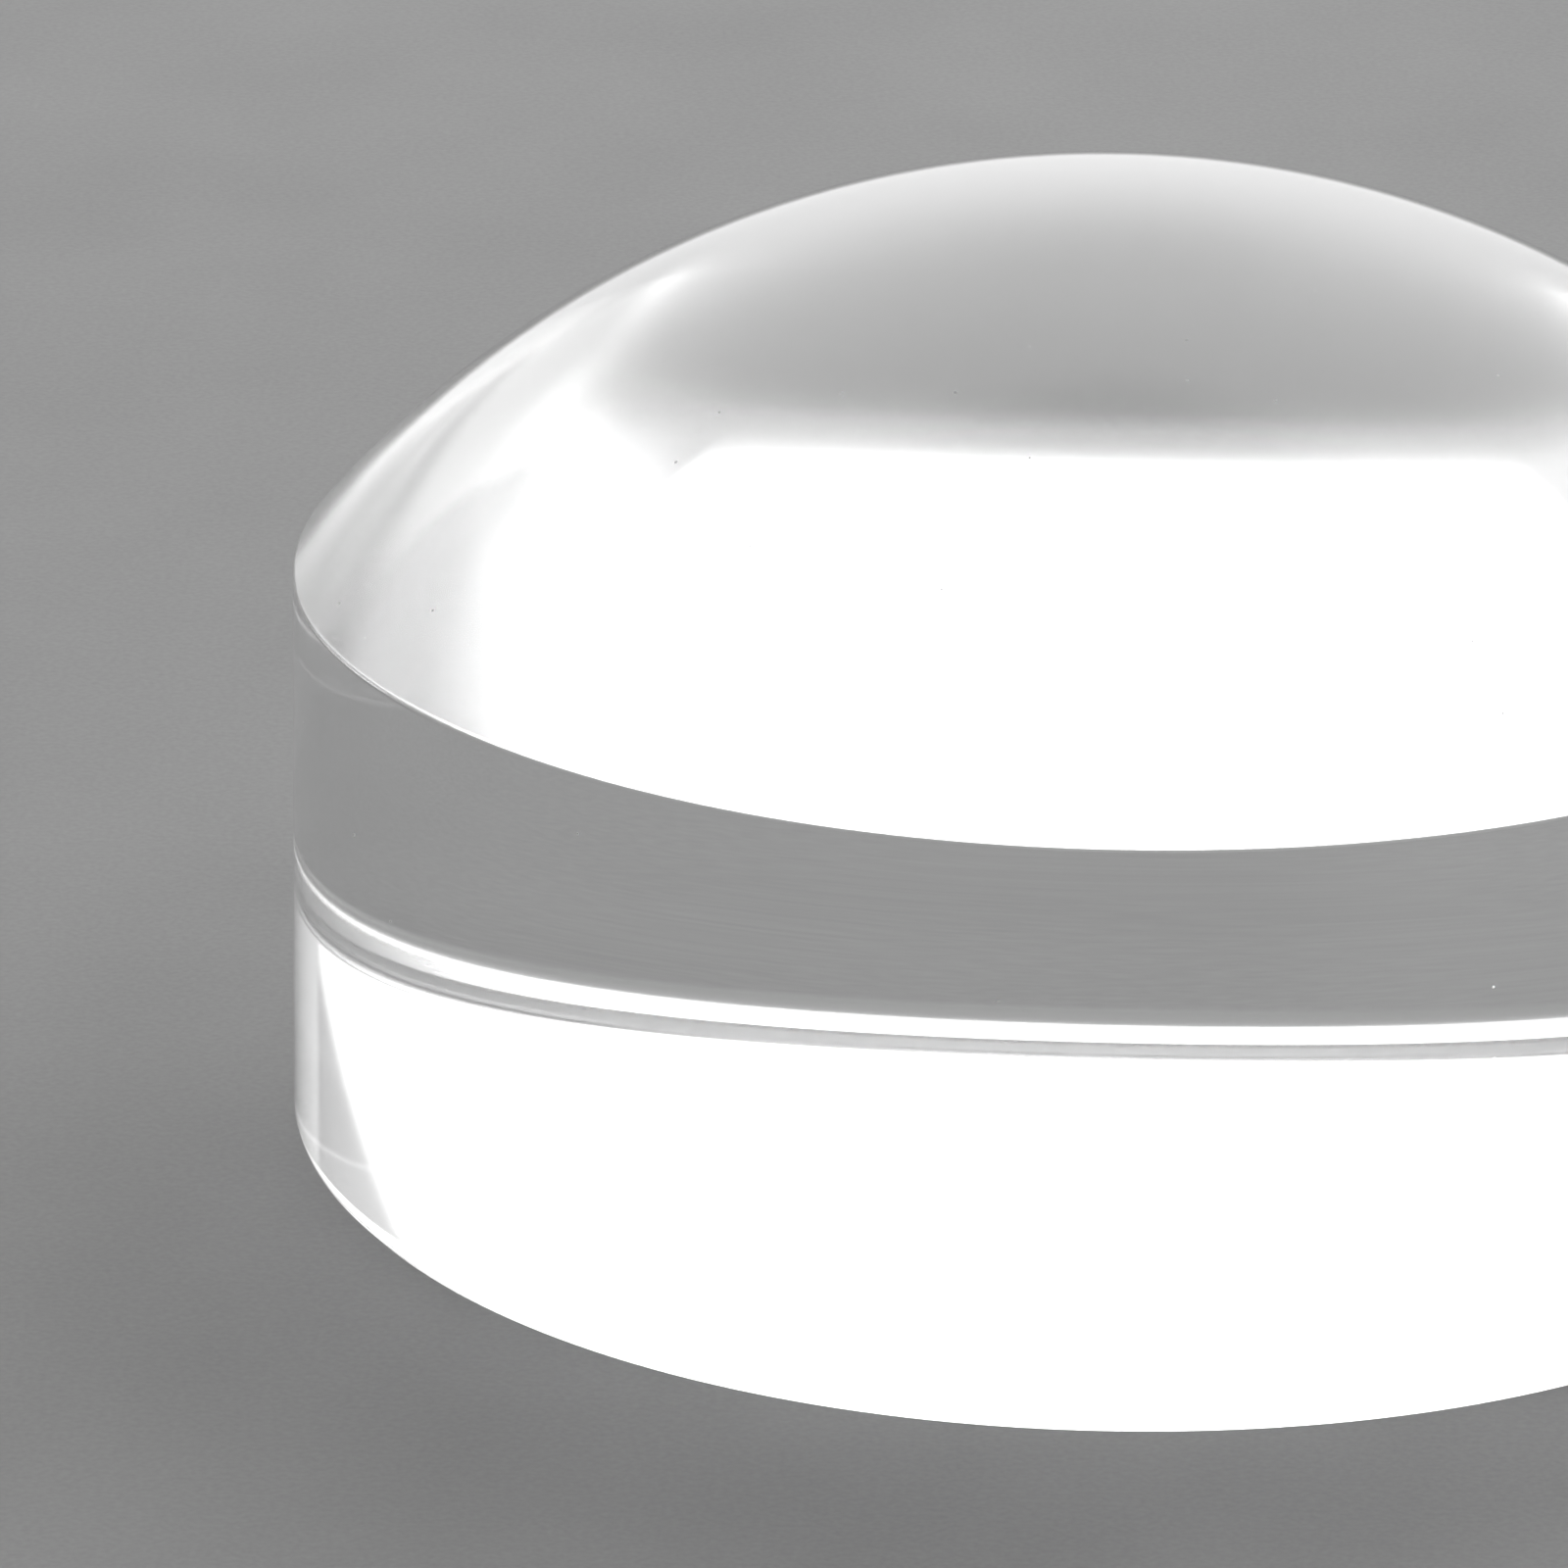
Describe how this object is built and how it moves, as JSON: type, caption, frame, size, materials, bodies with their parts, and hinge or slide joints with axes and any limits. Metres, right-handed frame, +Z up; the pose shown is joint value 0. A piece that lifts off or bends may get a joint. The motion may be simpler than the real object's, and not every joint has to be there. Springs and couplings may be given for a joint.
{
  "type": "dome magnifier",
  "caption": "Clear acrylic dome magnifier: a solid block with a flat base, a straight round wall and a spherical top, which stands on a page and enlarges what lies under it.",
  "frame": {"origin": "middle of the flat base, on the surface that the magnifier stands on", "axes": "+Z up the optical axis, out through the top of the dome; the part is round about Z, so X and Y are free"},
  "size_m": [0.065, 0.065, 0.039],
  "materials": {
    "clear_acrylic": "polished"
  },
  "bodies": {
    "root": {"dome_lens": "clear_acrylic"}
  },
  "joints": []
}
